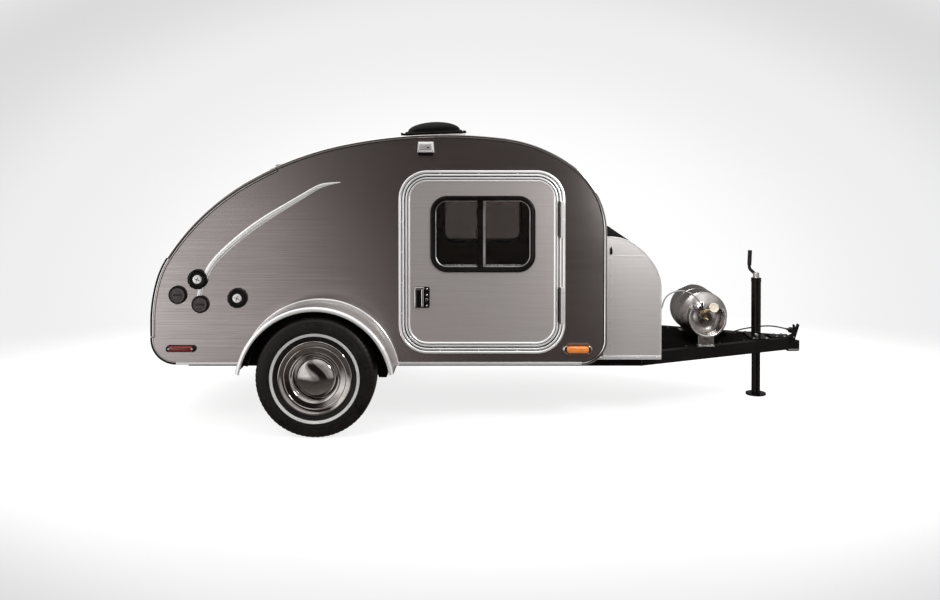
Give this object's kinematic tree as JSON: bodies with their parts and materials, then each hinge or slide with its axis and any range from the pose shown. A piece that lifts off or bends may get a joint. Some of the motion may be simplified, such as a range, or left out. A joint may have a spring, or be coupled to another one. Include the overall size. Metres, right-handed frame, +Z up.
{
  "type": "teardrop trailer",
  "caption": "Teardrop camping trailer with curved aluminium body, side doors, rear galley hatch, nose box, gas tank, fenders and tongue jack.",
  "frame": {"origin": "middle of the length and width, on the ground", "axes": "+X forward to the coupler, +Y to the left side, +Z up"},
  "size_m": [4.079, 1.9604, 1.8207],
  "materials": {
    "body_metal": "brushed",
    "trim_metal": "polished",
    "diamond_metal": "plain",
    "black_paint": "satin",
    "steel": "zinc plated",
    "tank_metal": "polished",
    "wheel_paint": "satin",
    "tyre": "moulded",
    "black_plastic": "matte",
    "pale_plastic": "matte",
    "plywood": "varnished",
    "window_glass": "tinted",
    "amber_lens": "gloss",
    "red_lens": "gloss",
    "hose_rubber": "matte",
    "brass": "satin"
  },
  "bodies": {
    "trailer": {"main_frame": "black_paint", "tongue_rails": "black_paint", "tongue_deck": "black_paint", "coupler": "black_paint", "coupler_latch": "black_paint", "jack_tube": "black_paint", "jack_crank": "black_plastic", "axle_beam": "black_paint", "leaf_springs": "black_paint", "floor": "plywood", "side_wall_right": "body_metal", "side_wall_left": "body_metal", "roof_shell": "body_metal", "galley_bulkhead": "plywood", "galley_cabinet": "plywood", "door_frame_right": "trim_metal", "door_frame_left": "trim_metal", "fender_right": "trim_metal", "fender_left": "trim_metal", "nose_box": "diamond_metal", "lp_tank": "tank_metal", "tank_valve": "brass", "lp_hose": "hose_rubber", "power_cable": "hose_rubber", "cable_plug": "black_plastic", "vent_base": "pale_plastic", "side_ports": "black_plastic", "amber_markers": "amber_lens", "red_lamps": "red_lens"},
    "wheel_right": {"tyre_right": "tyre", "rim_right": "wheel_paint", "hubcap_right": "trim_metal"},
    "wheel_left": {"tyre_left": "tyre", "rim_left": "wheel_paint", "hubcap_left": "trim_metal"},
    "door_right": {"door_panel_right": "body_metal", "window_frame_right": "black_plastic", "door_glass_right": "window_glass"},
    "door_left": {"door_panel_left": "body_metal", "window_frame_left": "black_plastic", "door_glass_left": "window_glass"},
    "hatch": {"galley_hatch": "body_metal"},
    "nose_lid": {"nose_box_lid": "diamond_metal"},
    "roof_vent": {"vent_lid": "black_plastic"},
    "jack_foot": {"jack_leg": "black_paint"}
  },
  "joints": [
    {"name": "wheel_right_spin", "type": "hinge", "parent": "trailer", "child": "wheel_right", "pos_m": [-1.035, -0.8775, 0.344], "axis": [0, 1, 0], "continuous": true},
    {"name": "wheel_left_spin", "type": "hinge", "parent": "trailer", "child": "wheel_left", "pos_m": [-1.035, 0.8775, 0.344], "axis": [0, 1, 0], "continuous": true},
    {"name": "door_right_swing", "type": "hinge", "parent": "trailer", "child": "door_right", "pos_m": [0.376, -0.775, 0.98], "axis": [0, 0, 1], "range_deg": [0, 110]},
    {"name": "door_left_swing", "type": "hinge", "parent": "trailer", "child": "door_left", "pos_m": [0.376, 0.775, 0.98], "axis": [0, 0, -1], "range_deg": [0, 110]},
    {"name": "hatch_lift", "type": "hinge", "parent": "trailer", "child": "hatch", "pos_m": [-1.29625, 0, 1.54904], "axis": [0, 1, 0], "range_deg": [0, 70]},
    {"name": "nose_lid_lift", "type": "hinge", "parent": "trailer", "child": "nose_lid", "pos_m": [0.671, 0, 1.117], "axis": [0, -1, 0], "range_deg": [0, 75]},
    {"name": "vent_lift", "type": "hinge", "parent": "trailer", "child": "roof_vent", "pos_m": [-0.1835, 0, 1.755], "axis": [0, 1, 0], "range_deg": [0, 45]},
    {"name": "jack_slide", "type": "slide", "parent": "trailer", "child": "jack_foot", "axis": [0, 0, 1], "range_m": [0, 0.25]}
  ]
}
